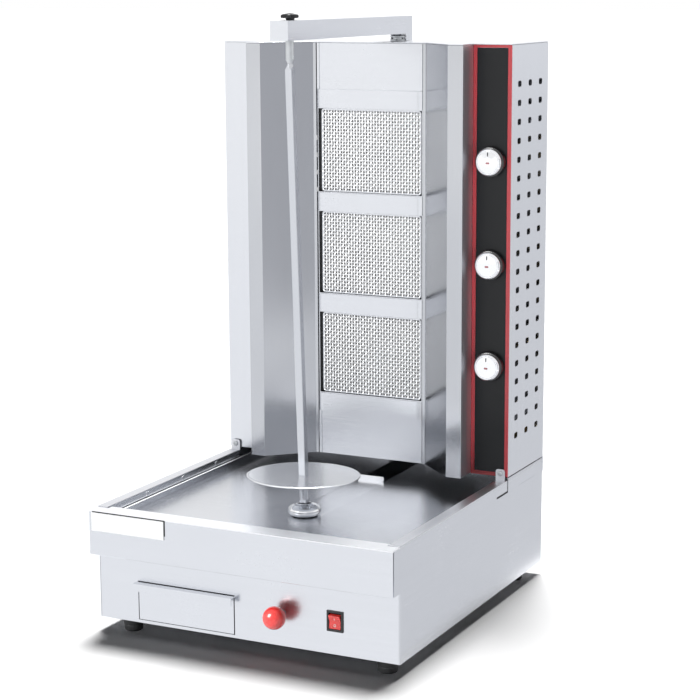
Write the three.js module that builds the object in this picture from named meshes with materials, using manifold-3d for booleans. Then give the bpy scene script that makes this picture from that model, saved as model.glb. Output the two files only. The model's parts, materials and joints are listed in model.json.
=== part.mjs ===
// Vertical rotisserie broiler: a sheet-steel base with a pull-out drip tray and a grease drawer, a tall
// housing with three ceramic gas burners between two splayed reflectors, and a leaning spit that is
// driven from below and steadied by a swing arm above.
//
// Millimetres. +X is the right-hand side seen from the front, +Y runs from the front to the back and +Z
// is up. Drawing coordinates have Y = 0 on the base's front panel; the last step moves everything so
// that the origin is at the middle of the footprint, on the worktop.
import * as THREE from 'three';
import { mergeVertices } from 'three/addons/utils/BufferGeometryUtils.js';
import Module from 'manifold-3d';

// ---- driving dimensions ----
const sheet = 1.5;                 // thickness of the steel sheet
const gap = 0.3;                   // clearance between neighbouring pieces

const halfWidth = 259;             // half the width of base and housing
const baseDepth = 573;
const worktop = -2.5;
const baseBottom = 19;
const rimTop = 198.5;              // top of the rims beside the drip tray
const rimWidth = 18;
const seamZ = 203.5;               // joint between base and housing
const housingFront = 415.5;
const housingBack = 575;
const housingTop = 900;
const bandBack = 577;              // hem at the top of the base's back

const trayFloor = 176;             // upper face of the drip tray's floor
const trayTop = 197;
const trayHalf = 238.7;
const trayFront = 9;               // inner face of the tray's front wall
const trayBack = 545;
const apronFront = -25;
const apronBottom = 127.5;
const slotHalf = 24;               // slot in the tray's floor that lets the drive shaft through

const axisX = 20;                  // spit, slot and arm share this plane
const driveY = 160;                // drive shaft
const pinY = 126;                  // centre pin above the spit
const socketZ = 191;               // floor of the dome's socket
const spitTip = 877.5;
const spitSide = 12;
const domeRadius = 26.8;
const discRadius = 89;
const discZ = 241;
const discTilt = 4.3;

const burnerHalf = 95.8;           // half width of the panel that carries the burners
const burnerY = 438.4;
const burnerRecess = 8;            // gauze, tiles and boxes stand this far behind the panel
const burnerZ = [379.5, 550.5, 721.5];
const barZ = [294, 465, 636, 807];
const barHeight = 30.6;

const wingFront = 374;
const wingInner = 168;
const wingOuter = 193;

const knobX = 226;
const knobZ = [385.5, 550.5, 715.5];
const fasciaFront = 414.9;
const borderWidth = 6.2;

const armHalf = 15;
const armBottom = 912;
const armTop = 941;
const armFront = 93;
const armBack = 531;
const pivotY = 506;

const ballX = 64;
const ballY = -23.5;
const ballZ = 69.8;
const ballRadius = 17.5;

const drawerLeft = -187;
const drawerRight = -18.5;
const inletBack = 601;

// ---- looks ----
const steel = { color: 0xd2d5de, roughness: 0.32, metalness: 1 };
const polished = { color: 0xa6aab2, roughness: 0.16, metalness: 1 };
const chrome = { color: 0xe4e6ea, roughness: 0.06, metalness: 1 };
const zinc = { color: 0x9ea2a6, roughness: 0.45, metalness: 1 };
const brass = { color: 0xb8984c, roughness: 0.35, metalness: 1 };
const castIron = { color: 0x55585c, roughness: 0.6, metalness: 0.8 };
const ceramic = { color: 0xd9d4c8, roughness: 0.9, metalness: 0 };
const blackPlastic = { color: 0x16181b, roughness: 0.4, metalness: 0 };
const blackPaint = { color: 0x24272c, roughness: 0.3, metalness: 0 };
const redPaint = { color: 0xe0404c, roughness: 0.35, metalness: 0 };
const redPlastic = { color: 0xf03c3c, roughness: 0.3, metalness: 0 };
const rubber = { color: 0x1a1b1c, roughness: 0.8, metalness: 0 };
const whitePlate = { color: 0xf4f5f6, roughness: 0.4, metalness: 0 };

const wasm = await Module();
wasm.setup();
const broiler = new THREE.Group();

// ---- shape helpers ----
function box(x, y, z) {
  const geometry = new THREE.BoxGeometry(x[1] - x[0], y[1] - y[0], z[1] - z[0]);
  return geometry.translate((x[0] + x[1]) / 2, (y[0] + y[1]) / 2, (z[0] + z[1]) / 2);
}

// The same span on the right (side = 1) or on the left (side = -1).
function span(side, near, far) {
  return side > 0 ? [near, far] : [-far, -near];
}

function outline(points) {
  return new THREE.Shape(points.map(([a, b]) => new THREE.Vector2(a, b)));
}

// Plan outline (x, y) raised from z[0] to z[1].
function prismZ(points, z) {
  const geometry = new THREE.ExtrudeGeometry(outline(points), { depth: z[1] - z[0], bevelEnabled: false });
  return geometry.translate(0, 0, z[0]);
}

// Side outline (y, z) carried from x[0] to x[1].
function prismX(points, x) {
  const geometry = new THREE.ExtrudeGeometry(outline(points), { depth: x[1] - x[0], bevelEnabled: false });
  geometry.rotateX(Math.PI / 2);
  geometry.rotateZ(Math.PI / 2);
  return geometry.translate(x[0], 0, 0);
}

// Front outline (x, z) carried from y[0] to y[1].
function prismY(points, y) {
  const geometry = new THREE.ExtrudeGeometry(outline(points), { depth: y[1] - y[0], bevelEnabled: false });
  geometry.rotateX(Math.PI / 2);
  return geometry.translate(0, y[1], 0);
}

// Six times the volume, negative where the faces point inwards.
function signedVolume(geometry) {
  const { position } = geometry.attributes;
  const corner = (i) => new THREE.Vector3().fromBufferAttribute(position, geometry.index.getX(i));
  let total = 0;
  for (let i = 0; i < geometry.index.count; i += 3) {
    total += corner(i).dot(corner(i + 1).cross(corner(i + 2)));
  }
  return total;
}

// Profile points (radius, height) turned about a line along +Z, +Y or +X through a point.
function turned(profile, [x, y, z], axis = 'z', segments = 24) {
  const points = profile.map(([r, h]) => new THREE.Vector2(r, h));
  let geometry = new THREE.LatheGeometry(points, segments);
  if (signedVolume(geometry) < 0) {
    geometry = new THREE.LatheGeometry(points.reverse(), segments);
  }
  if (axis === 'z') {
    geometry.rotateX(Math.PI / 2);
  }
  if (axis === 'x') {
    geometry.rotateZ(-Math.PI / 2);
  }
  return geometry.translate(x, y, z);
}

function rod(radius, from, to, place, axis = 'z', segments = 20) {
  return turned([[0, from], [radius, from], [radius, to], [0, to]], place, axis, segments);
}

function arc(cx, cy, radius, from, to, steps) {
  const points = [];
  for (let i = 0; i <= steps; i += 1) {
    const angle = THREE.MathUtils.degToRad(from + (to - from) * (i / steps));
    points.push([cx + radius * Math.cos(angle), cy + radius * Math.sin(angle)]);
  }
  return points;
}

// Outline of a strip of sheet that follows a bent centre path, for prismZ.
function bentStrip(path, thickness) {
  const sides = [[], []];
  for (let i = 0; i < path.length; i += 1) {
    const here = new THREE.Vector2(...path[i]);
    const before = new THREE.Vector2(...path[Math.max(i - 1, 0)]);
    const after = new THREE.Vector2(...path[Math.min(i + 1, path.length - 1)]);
    const inward = here.clone().sub(before).normalize();
    const onward = after.clone().sub(here).normalize();
    const first = i === 0 ? onward : inward;
    const last = i === path.length - 1 ? inward : onward;
    const normal = new THREE.Vector2(-first.y - last.y, first.x + last.x).normalize();
    const reach = thickness / 2 / Math.abs(normal.x * -first.y + normal.y * first.x);
    sides[0].push([here.x + normal.x * reach, here.y + normal.y * reach]);
    sides[1].unshift([here.x - normal.x * reach, here.y - normal.y * reach]);
  }
  const points = [...sides[0], ...sides[1]];
  return THREE.ShapeUtils.isClockWise(points.map(([x, y]) => ({ x, y }))) ? points.reverse() : points;
}

// ---- joining and cutting ----
function solid(geometry) {
  const bare = geometry.clone();
  bare.deleteAttribute('normal');
  bare.deleteAttribute('uv');
  const merged = mergeVertices(bare, 1e-4);
  const vertProperties = new Float32Array(merged.attributes.position.array);
  const triVerts = new Uint32Array(merged.index.array);
  return new wasm.Manifold(new wasm.Mesh({ numProp: 3, vertProperties, triVerts }));
}

function shape(body) {
  const mesh = body.getMesh();
  const geometry = new THREE.BufferGeometry();
  geometry.setAttribute('position', new THREE.BufferAttribute(new Float32Array(mesh.vertProperties), 3));
  geometry.setIndex(new THREE.BufferAttribute(new Uint32Array(mesh.triVerts), 1));
  geometry.computeVertexNormals();
  return geometry;
}

function join(...geometries) {
  return shape(geometries.map(solid).reduce((whole, piece) => whole.add(piece)));
}

function cut(geometry, ...tools) {
  return shape(tools.map(solid).reduce((whole, tool) => whole.subtract(tool), solid(geometry)));
}

function common(first, second) {
  return shape(solid(first).intersect(solid(second)));
}

function add(name, geometry, look) {
  const mesh = new THREE.Mesh(geometry, new THREE.MeshStandardMaterial(look));
  mesh.name = name;
  broiler.add(mesh);
  return mesh;
}

// ---- base: floor, front, sides and back ----
const inner = halfWidth - sheet - gap;
const floorTop = baseBottom + sheet;
const drawerFloor = 25;

add('base_floor', join(
  box([-inner, inner], [sheet + gap, baseDepth - 2 * sheet - gap], [baseBottom, floorTop]),
  box([drawerLeft + 7, drawerLeft + 17], [10, 310], [baseBottom + 0.5, drawerFloor - gap]),
  box([drawerRight - 17, drawerRight - 7], [10, 310], [baseBottom + 0.5, drawerFloor - gap]),
), steel);

const frontTop = 172;
const rockerMid = { x: 153.5, z: 70.5 };
add('base_front', cut(
  box([-inner, inner], [0, sheet], [baseBottom, frontTop]),
  box([drawerLeft - 1.5, drawerRight + 1.5], [-5, 5], [24, 86.5]),
  box([rockerMid.x - 12.5, rockerMid.x + 12.5], [-5, 5], [rockerMid.z - 14.5, rockerMid.z + 14.5]),
  rod(6, -5, 5, [ballX, 0, ballZ], 'y'),
), steel);

const tabY = 412.3;
const tabMid = 247;
const tabScrewZ = 209.5;
const rivetY = [115, 225, 335];
const sideTop = seamZ - 1.8;
for (const side of [-1, 1]) {
  const name = side > 0 ? 'base_side_right' : 'base_side_left';
  const rimInner = halfWidth - rimWidth;
  const web = prismX([
    [0, baseBottom], [baseDepth - sheet - gap, baseBottom], [baseDepth - sheet - gap, sideTop],
    [417.6, sideTop], [417.6, 177.6], [369, 177.6], [369, 181], [414.2, 181], [414.2, rimTop],
    [0, rimTop],
  ], span(side, halfWidth - sheet, halfWidth));
  const flange = box(span(side, rimInner, halfWidth - 0.5), [gap, tabY + 1], [rimTop - sheet, rimTop]);
  const lip = box(span(side, rimInner, rimInner + sheet), [gap, tabY + 1], [187, rimTop]);
  const ledge = box(span(side, trayHalf - 10, halfWidth - 0.5), [10, 560], [172.6, 174.1]);
  const tab = prismY([
    [tabMid - 8, rimTop - 1], [tabMid + 8, rimTop - 1],
    ...arc(tabMid + 4, 212.5, 4, 0, 90, 3), ...arc(tabMid - 4, 212.5, 4, 90, 180, 3),
  ].map(([x, z]) => [side * x, z]), [tabY, tabY + sheet]);
  const rivets = rivetY.map((y) => rod(3.6, -1.2, 0.4, [side * (rimInner - 0.4 * (1 - side)), y, 192.5], 'x', 12));
  const folded = join(web, flange, lip, ledge, tab, ...rivets);
  const tabHole = rod(2.3, tabY - 5, tabY + 5, [side * tabMid, 0, tabScrewZ], 'y', 16);
  const crease = box(span(side, halfWidth - 0.6, halfWidth + 1), [470, 535], [178.4, 179.8]);
  add(name, cut(folded, tabHole, crease), steel);
}

const glandAt = [150, 0, 60];
add('base_rear', cut(
  join(
    box([-halfWidth, halfWidth], [baseDepth - sheet, baseDepth], [baseBottom, seamZ - gap]),
    box([-halfWidth, halfWidth], [baseDepth - 0.5, bandBack], [178, seamZ - gap]),
  ),
  rod(8.3, baseDepth - 10, baseDepth + 10, glandAt, 'y'),
), steel);

const footPlaces = { front_left: [-214, 24], front_right: [228, 24], rear_left: [-214, 524], rear_right: [228, 524] };
for (const [place, [x, y]] of Object.entries(footPlaces)) {
  add(`foot_${place}`, turned(
    [[0, worktop], [13.5, worktop], [14.5, worktop + 1.5], [17, baseBottom - gap], [0, baseBottom - gap]],
    [x, y, 0], 'z', 28,
  ), rubber);
}

add('cable_gland', cut(
  turned([
    [0, -9], [7.5, -9], [7.5, gap], [11.5, gap], [11.5, 6.5], [8.5, 9], [8.5, 15], [6.5, 19], [0, 19],
  ], [glandAt[0], baseDepth, glandAt[2]], 'y', 18),
  rod(3.6, -20, 30, [glandAt[0], baseDepth, glandAt[2]], 'y', 16),
), blackPlastic);

// ---- drip tray with its apron, and the blank plate on it ----
const lipTop = 186;                // hem along the top of the tray's side walls
const cheekFront = apronFront + sheet + 2.2;
const pan = join(
  box([-halfWidth, halfWidth], [apronFront, apronFront + sheet], [apronBottom, trayTop]),
  box([-halfWidth, sheet - halfWidth], [cheekFront, -gap], [apronBottom, trayTop]),
  box([halfWidth - sheet, halfWidth], [cheekFront, -gap], [apronBottom, trayTop]),
  box([-halfWidth, halfWidth], [apronFront, -gap], [trayTop - sheet, trayTop]),
  box([-trayHalf, trayHalf], [-1, trayFront], [trayTop - sheet, trayTop]),
  box([-trayHalf, trayHalf], [trayFront - sheet, trayFront], [trayFloor - sheet, trayTop]),
  box([-trayHalf, trayHalf], [trayFront - sheet, trayBack], [trayFloor - sheet, trayFloor]),
  box([-trayHalf, sheet - trayHalf], [trayFront - sheet, trayBack], [trayFloor - sheet, lipTop]),
  box([trayHalf - sheet, trayHalf], [trayFront - sheet, trayBack], [trayFloor - sheet, lipTop]),
  box([-trayHalf, 3 - trayHalf], [trayFront - sheet, trayBack], [lipTop - sheet, lipTop]),
  box([trayHalf - 3, trayHalf], [trayFront - sheet, trayBack], [lipTop - sheet, lipTop]),
  box([-trayHalf, trayHalf], [trayBack - sheet, trayBack], [trayFloor - sheet, lipTop]),
);
const slotFront = 118;
add('drip_tray', cut(
  pan,
  box([axisX - slotHalf, axisX + slotHalf], [slotFront, trayBack + 5], [trayFloor - 5, trayFloor + 5]),
  box([axisX - slotHalf - 10, axisX + slotHalf + 10], [trayBack - 5, trayBack + 5], [trayFloor - 5, 200]),
  rod(10, trayFloor - 5, trayFloor + 5, [-102, 36, 0]),
), steel);
add('blank_plate', box([-254, -124], [apronFront - 1.6, apronFront - gap], [166, 195]), whitePlate);

// ---- grease drawer ----
add('grease_drawer', join(
  box([drawerLeft, drawerRight], [-0.2, sheet - 0.2], [drawerFloor, 85.5]),
  box([drawerLeft - 3, drawerRight + 3], [-14, -gap], [85.5 - sheet, 85.5]),
  box([drawerLeft, drawerRight], [-2, 1], [85.5 - sheet, 85.5]),
  box([drawerLeft - 3, drawerRight + 3], [-14, sheet - 14], [73.5, 85.5]),
  box([drawerLeft + 3, drawerLeft + 3 + sheet], [0, 300], [drawerFloor, 72]),
  box([drawerRight - 3 - sheet, drawerRight - 3], [0, 300], [drawerFloor, 72]),
  box([drawerLeft + 3, drawerRight - 3], [0, 300], [drawerFloor, drawerFloor + sheet]),
  box([drawerLeft + 3, drawerRight - 3], [300 - sheet, 300], [drawerFloor, 72]),
), steel);

// ---- rocker switch ----
const rockerX = [rockerMid.x - 9.5, rockerMid.x + 9.5];
const bezelWidth = [rockerMid.x - 13.5, rockerMid.x + 13.5];
add('rocker_bezel', cut(
  join(
    box(bezelWidth, [-2, -gap], [rockerMid.z - 16, rockerMid.z + 16]),
    box([rockerMid.x - 12, rockerMid.x + 12], [-1, 24], [rockerMid.z - 14, rockerMid.z + 14]),
  ),
  box([rockerMid.x - 10, rockerMid.x + 10], [-5, 11], [rockerMid.z - 12.5, rockerMid.z + 12.5]),
), blackPlastic);
const rockerPivot = [rockerMid.x, 3, rockerMid.z];
const rockerTilt = THREE.MathUtils.degToRad(10);
const rockerSide = [[-7, -10.8], [-4, 0], [-7, 10.8], [0.5, 10.8], [3.5, 5], [3.5, -5], [0.5, -10.8]];
const rocker = prismX(rockerSide, [-9.5, 9.5]).rotateX(rockerTilt).translate(...rockerPivot);
add('rocker', rocker, redPlastic);

// ---- carriage that carries the spit, moved by the red ball ----
add('red_ball', cut(
  new THREE.SphereGeometry(ballRadius, 24, 14).translate(ballX, ballY, ballZ),
  rod(4.4, ballY - 8, ballY + 30, [ballX, 0, ballZ], 'y'),
), redPlastic);
add('carriage', join(
  rod(4, ballY - 7, 92, [ballX, 0, ballZ], 'y'),
  box([ballX - 15, ballX + 15], [90, 93], [46.8, 95]),
  box([-14, 92], [90, 214], [46.8, 49.8]),
), zinc);
add('carriage_rails', join(
  box([-13, -3], [60, 350], [floorTop + gap, 46.5]),
  box([81, 91], [60, 350], [floorTop + gap, 46.5]),
  box([-13, 91], [62, 72], [floorTop + gap, 32]),
  box([-13, 91], [338, 348], [floorTop + gap, 32]),
), zinc);
add('gearmotor', cut(
  join(
    box([axisX - 36, axisX + 36], [driveY - 42, driveY + 42], [50.1, 125]),
    rod(15, 124, 138, [axisX, driveY, 0]),
    rod(30, driveY + 40, driveY + 112, [axisX, 0, 88], 'y'),
    rod(10, driveY + 110, driveY + 118, [axisX, 0, 88], 'y'),
  ),
  rod(7.4, 70, 150, [axisX, driveY, 0]),
), castIron);
const coverBottom = trayFloor + gap;
const coverSheet = 0.7;
add('slot_cover', cut(
  join(
    box([axisX - 28, axisX + 28], [slotFront - 10, 400], [coverBottom, coverBottom + coverSheet]),
    box([axisX - slotHalf, axisX + slotHalf], [400 - sheet, 400], [coverBottom, 184]),
  ),
  rod(8.5, coverBottom - 5, coverBottom + 5, [axisX, driveY, 0]),
), steel);

// ---- spit: dome socket, square bar and disc ----
const domeBottom = coverBottom + coverSheet + gap;
add('drive_shaft', rod(7, 70.5, domeBottom + 5.7, [axisX, driveY, 0]), zinc);
add('dome_socket', cut(
  turned([
    [0, domeBottom], [21, domeBottom], [domeRadius - 2.4, domeBottom + 3], [domeRadius, domeBottom + 8],
    [domeRadius - 1, domeBottom + 11.5], [domeRadius - 4.4, domeBottom + 15], [17.5, domeBottom + 17.4],
    [13, domeBottom + 18.2], [12.2, domeBottom + 19.2], [0, domeBottom + 19.2],
  ], [axisX, driveY, 0], 'z', 32),
  rod(7.3, domeBottom - 5, domeBottom + 6, [axisX, driveY, 0]),
  rod(9.8, socketZ, domeBottom + 30, [axisX, driveY, 0]),
), chrome);

const lean = Math.atan2(driveY - pinY, spitTip - socketZ);
const barLength = (spitTip - socketZ) / Math.cos(lean);
function leaning(geometry) {
  return geometry.rotateX(lean).translate(axisX, driveY, socketZ);
}

function squareBar(half, bevel) {
  return [
    [half, bevel - half], [half, half - bevel], [half - bevel, half], [bevel - half, half],
    [-half, half - bevel], [-half, bevel - half], [bevel - half, -half], [half - bevel, -half],
  ];
}

const half = spitSide / 2;
const bar = prismZ(squareBar(half, 0.8), [0.8, barLength]);
const turnedEnd = turned([
  [0, 0], [spitSide, 0], [spitSide, barLength - 12.5], [8.4, barLength - 9.5], [4.4, barLength - 2],
  [3.9, barLength], [0, barLength],
], [0, 0, 0], 'z', 24);
const discAt = (discZ - socketZ) / Math.cos(lean);
const roundFoot = rod(8, 12, discAt - 2.5, [0, 0, 0], 'z', 32);
add('spit_bar', leaning(join(common(bar, turnedEnd), roundFoot)), steel);

const squareHole = prismZ(squareBar(half + gap, 0.6), [discAt - 30, discAt + 30]);
const plate = turned([
  [0, -1.2], [discRadius - 1, -1.2], [discRadius, 0], [discRadius - 1, 1.2], [0, 1.2],
], [0, 0, 0], 'z', 56);
plate.rotateX(THREE.MathUtils.degToRad(-discTilt)).translate(0, 0, discAt);
add('spit_disc', leaning(cut(plate, squareHole)), steel);

// ---- housing: sides, back, top and burner panel ----
const housingBottom = seamZ;
const panelTop = housingTop - sheet - gap;
const ventY = [449.5, 495.2, 540.9];
const ventRows = 20;
const ventTop = 836.8;
const ventPitch = 30;
const ventOutline = [[-7.5, -2.6], [-5.3, -4.8], [5.3, -4.8], [7.5, -2.6], [7.5, 2.6], [5.3, 4.8], [-5.3, 4.8], [-7.5, 2.6]];
for (const side of [-1, 1]) {
  const vents = [];
  for (const y of ventY) {
    for (let row = 0; row < ventRows; row += 1) {
      const hole = ventOutline.map(([a, b]) => [y + a, ventTop - ventPitch * row + b]);
      vents.push(prismX(hole, span(side, halfWidth - 5, halfWidth + 5)));
    }
  }
  const front = housingFront + 1.7;
  const stemHoles = side > 0 ? knobZ.map((z) => rod(6, front - 5, front + 5, [knobX, 0, z], 'y', 16)) : [];
  const folded = prismZ(bentStrip([
    [side * wingOuter, front], [side * (halfWidth - sheet / 2), front],
    [side * (halfWidth - sheet / 2), housingBack - sheet - gap],
  ], sheet), [housingBottom, panelTop]);
  add(side > 0 ? 'housing_side_right' : 'housing_side_left', cut(folded, ...vents, ...stemHoles), steel);
}

const inletAt = { x: 226, z: 245 };
const louvres = [];
for (const x of [-150, 0, 150]) {
  for (const z of [640, 670, 700, 730]) {
    louvres.push(box([x - 45, x + 45], [housingBack - 10, housingBack + 10], [z - 4, z + 4]));
  }
}
add('housing_rear', cut(
  box([-halfWidth, halfWidth], [housingBack - sheet, housingBack], [housingBottom, panelTop]),
  rod(12, housingBack - 10, housingBack + 10, [inletAt.x, 0, inletAt.z], 'y'),
  ...louvres,
), steel);

const topOutline = [
  [halfWidth, housingBack], [halfWidth, housingFront], [wingOuter + 0.8, housingFront],
  [wingOuter + 0.8, wingFront - 0.8], [wingInner - 0.4, wingFront - 0.8], [burnerHalf + 6.2, burnerY - 2.3],
];
add('housing_top', cut(
  prismZ([...topOutline, ...topOutline.map(([x, y]) => [-x, y]).reverse()], [housingTop - sheet, housingTop]),
  rod(5.4, housingTop - 10, housingTop + 10, [axisX, pivotY, 0]),
), steel);

for (const side of [-1, 1]) {
  const path = [
    [burnerHalf + 1, burnerY - 1.5], [burnerHalf + 6.2, burnerY - 1.5], [wingInner, wingFront],
    [wingOuter, wingFront], [wingOuter, housingFront + 0.3],
  ].map(([x, y]) => [side * x, y]);
  const wing = prismZ(bentStrip(path, sheet), [housingBottom + 0.5, panelTop]);
  add(side > 0 ? 'reflector_right' : 'reflector_left', wing, polished);
}

const barEdge = barHeight / 2 + gap;
const panelEdges = [];
for (const side of [-1, 1]) {
  const strip = span(side, 91.3, burnerHalf);
  panelEdges.push(box(strip, [burnerY - 1.3, burnerY + 0.5], [housingBottom + 0.5, barZ[0] - barEdge]));
  panelEdges.push(box(strip, [burnerY - 1.3, burnerY + 0.5], [barZ[3] + barEdge, panelTop]));
}
add('burner_panel', cut(
  join(
    box([-burnerHalf, burnerHalf], [burnerY, burnerY + sheet], [housingBottom + 0.5, panelTop]),
    ...panelEdges,
  ),
  ...burnerZ.map((z) => box([-94.3, 94.3], [burnerY - 5, burnerY + 5], [z - 69, z + 69])),
), steel);
barZ.forEach((z, i) => {
  const plan = [
    [-95.5, burnerY - gap], [-95.5, burnerY - 0.9], [-86.5, burnerY - 4],
    [86.5, burnerY - 4], [95.5, burnerY - 0.9], [95.5, burnerY - gap],
  ];
  add(`cross_bar_${i + 1}`, prismZ(plan, [z - barHeight / 2, z + barHeight / 2]), steel);
});

// ---- burners: gauze in front, ceramic tiles, and the gas box with its mixing tube ----
const gauzeHalf = { x: 91.5, z: 69.7 };
function roundedFrame(halfX, halfZ, radius, z) {
  return [
    ...arc(halfX - radius, z + halfZ - radius, radius, 0, 90, 4),
    ...arc(radius - halfX, z + halfZ - radius, radius, 90, 180, 4),
    ...arc(radius - halfX, z - halfZ + radius, radius, 180, 270, 4),
    ...arc(halfX - radius, z - halfZ + radius, radius, 270, 360, 4),
  ];
}

const burnerFace = burnerY + burnerRecess;
const pipeY = burnerFace + 36;
burnerZ.forEach((z, i) => {
  const name = i + 1;
  add(`burner_gauze_${name}`, cut(
    box([-gauzeHalf.x, gauzeHalf.x], [burnerFace - 2.8, burnerFace - gap], [z - gauzeHalf.z, z + gauzeHalf.z]),
    prismY(roundedFrame(gauzeHalf.x - 3.5, gauzeHalf.z - 3.5, 6, z), [burnerFace - 8, burnerFace - 1.8]),
  ), steel);
  add(`burner_tiles_${name}`, cut(
    box([-88, 88], [burnerFace + 0.1, burnerFace + 13], [z - 67, z + 67]),
    box([-0.8, 0.8], [burnerFace - 5, burnerFace + 5], [z - 70, z + 70]),
  ), ceramic);
  add(`burner_box_${name}`, cut(
    join(
      box([-92.5, 92.5], [burnerFace, burnerFace + 58], [z - 71, z + 71]),
      box([-101, 101], [burnerFace, burnerFace + sheet], [z - 76, z + 76]),
      rod(14, 90, 158, [0, pipeY, z], 'x'),
    ),
    box([-88.4, 88.4], [burnerFace - 5, burnerFace + 54], [z - 67.4, z + 67.4]),
    rod(11, 80, 165, [0, pipeY, z], 'x'),
  ), castIron);
});

// ---- control fascia, gas manifold and knobs ----
const fasciaX = [wingOuter + 1.1, halfWidth];
const fasciaMid = (fasciaX[0] + fasciaX[1]) / 2;
const fasciaHalf = (fasciaX[1] - fasciaX[0]) / 2;
const fasciaInner = [fasciaMid - fasciaHalf + borderWidth, fasciaMid + fasciaHalf - borderWidth];
const fasciaZ = [housingBottom + 0.5, housingTop - sheet - gap];
add('fascia_border', cut(
  box(fasciaX, [fasciaFront - 0.6, housingFront + 0.6], fasciaZ),
  box(fasciaInner, [fasciaFront - 10, fasciaFront + 10], [fasciaZ[0] + borderWidth, fasciaZ[1] - 4]),
), redPaint);
add('fascia_panel', cut(
  box(
    [fasciaInner[0] + gap, fasciaInner[1] - gap], [fasciaFront, housingFront + 0.6],
    [fasciaZ[0] + borderWidth + gap, fasciaZ[1] - 4 - gap],
  ),
  ...knobZ.map((z) => rod(6, fasciaFront - 5, fasciaFront + 5, [knobX, 0, z], 'y', 16)),
), blackPaint);

add('gas_manifold', join(
  rod(8, inletAt.z - 12, knobZ[2] + 30, [inletAt.x, pipeY, 0]),
  rod(8, pipeY, inletBack, [inletAt.x, 0, inletAt.z], 'y'),
  rod(10.5, inletBack - 14, inletBack - 8, [inletAt.x, 0, inletAt.z], 'y'),
  rod(10, inletBack - 6, inletBack - 2, [inletAt.x, 0, inletAt.z], 'y'),
  ...knobZ.map((z) => box([knobX - 13, knobX + 13], [424, pipeY + 4], [z - 13, z + 13])),
  ...knobZ.map((z) => rod(3.8, fasciaFront - 7.4, 430, [knobX, 0, z], 'y', 12)),
  ...burnerZ.map((z) => rod(5, 170, 220, [0, pipeY, z], 'x', 12)),
), brass);

knobZ.forEach((z, i) => {
  const back = fasciaFront - 1;
  add(`knob_skirt_${i + 1}`, cut(
    turned([
      [0, back - 9.5], [22.6, back - 9.5], [24.4, back - 8.5], [25.6, back - 1.5], [25.6, back], [0, back],
    ], [knobX, 0, z], 'y', 32),
    rod(4.1, back - 7, back + 5, [knobX, 0, z], 'y', 16),
    rod(22, back - 2.5, back + 5, [knobX, 0, z], 'y', 24),
  ), blackPlastic);
  add(`knob_cap_${i + 1}`, turned([
    [0, back - 16.5], [15, back - 16.3], [19.6, back - 15.6], [21.4, back - 14], [21.8, back - 9.8],
    [0, back - 9.8],
  ], [knobX, 0, z], 'y', 32), chrome);
});

for (const side of [-1, 1]) {
  add(side > 0 ? 'tab_screw_right' : 'tab_screw_left', cut(
    turned([
      [0, -3.2], [2.4, -3], [4.1, -1.6], [4.4, -gap], [2, -gap], [2, 1.3], [0, 1.3],
    ], [side * tabMid, tabY, tabScrewZ], 'y', 20),
    box([side * tabMid - 3, side * tabMid + 3], [tabY - 5, tabY - 2.2], [tabScrewZ - 0.5, tabScrewZ + 0.5]),
  ), zinc);
}

// ---- swing arm with its pivot, centre pin and wing knob ----
const armX = [axisX - armHalf, axisX + armHalf];
const armWall = 2;
const footFront = 508;
const armSide = [
  [armFront, armBottom], [footFront, armBottom], [footFront, housingTop + 0.6], [armBack, housingTop + 0.6],
  [armBack, armTop], [armFront, armTop],
];
add('swing_arm', cut(
  join(
    box(armX, [armFront, armBack], [armTop - armWall, armTop]),
    prismX(armSide, [armX[0], armX[0] + armWall]),
    prismX(armSide, [armX[1] - armWall, armX[1]]),
    box(armX, [armFront, armFront + armWall], [armBottom, armTop]),
    box(armX, [armBack - armWall, armBack], [housingTop + 0.6, armTop]),
    box(armX, [pivotY - 26, pivotY + 16], [armBottom, armBottom + armWall]),
  ),
  rod(5.4, armBottom - 5, armBottom + 5, [axisX, pivotY, 0]),
  box([axisX - 5.5, axisX + 5.5], [pinY - 28, pinY + 28], [armTop - 5, armTop + 5]),
), steel);
add('arm_pivot', turned([
  [0, housingTop - 14], [9, housingTop - 14], [9, housingTop - sheet - gap], [5.1, housingTop - sheet - gap],
  [5.1, housingTop + gap], [12.2, housingTop + gap], [12.2, housingTop + 3], [8, housingTop + 3.2],
  [8, housingTop + 5.6], [12.6, housingTop + 6], [12.6, housingTop + 8.4], [9.5, housingTop + 8.8],
  [9.5, armBottom - gap], [5.1, armBottom - gap], [5.1, armBottom + armWall + gap],
  [9, armBottom + armWall + gap], [9, armBottom + 9], [0, armBottom + 9],
], [axisX, pivotY, 0], 'z', 20), zinc);

add('centre_pin', turned([
  [0, spitTip + 0.6], [3.9, spitTip + 0.6], [6.3, spitTip + 6], [6.3, 933], [9.5, 933],
  [9.5, armTop - armWall - gap], [4.6, armTop - armWall - gap], [4.6, armTop + 7], [0, armTop + 7],
], [axisX, pinY, 0], 'z', 20), zinc);

const lobes = 5;
const star = [];
for (let i = 0; i < lobes * 6; i += 1) {
  const angle = (i / (lobes * 6)) * 2 * Math.PI;
  const radius = 11.5 + 3 * Math.cos(lobes * angle);
  star.push([axisX + radius * Math.cos(angle), pinY + radius * Math.sin(angle)]);
}
add('star_knob', cut(
  join(
    rod(6.5, armTop + gap, armTop + 5, [axisX, pinY, 0]),
    prismZ(star, [armTop + 3.5, armTop + 8.5]),
    turned([[0, armTop + 8], [9, armTop + 8], [7, armTop + 10.2], [0, armTop + 11]], [axisX, pinY, 0], 'z', 24),
  ),
  rod(4.9, armTop - 5, armTop + 7.4, [axisX, pinY, 0]),
), blackPlastic);

// ---- origin: middle of the footprint, on the worktop ----
const middleY = (ballY - ballRadius + inletBack) / 2;
for (const mesh of broiler.children) {
  mesh.geometry.translate(0, -middleY, -worktop);
}

export default broiler;
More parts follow.
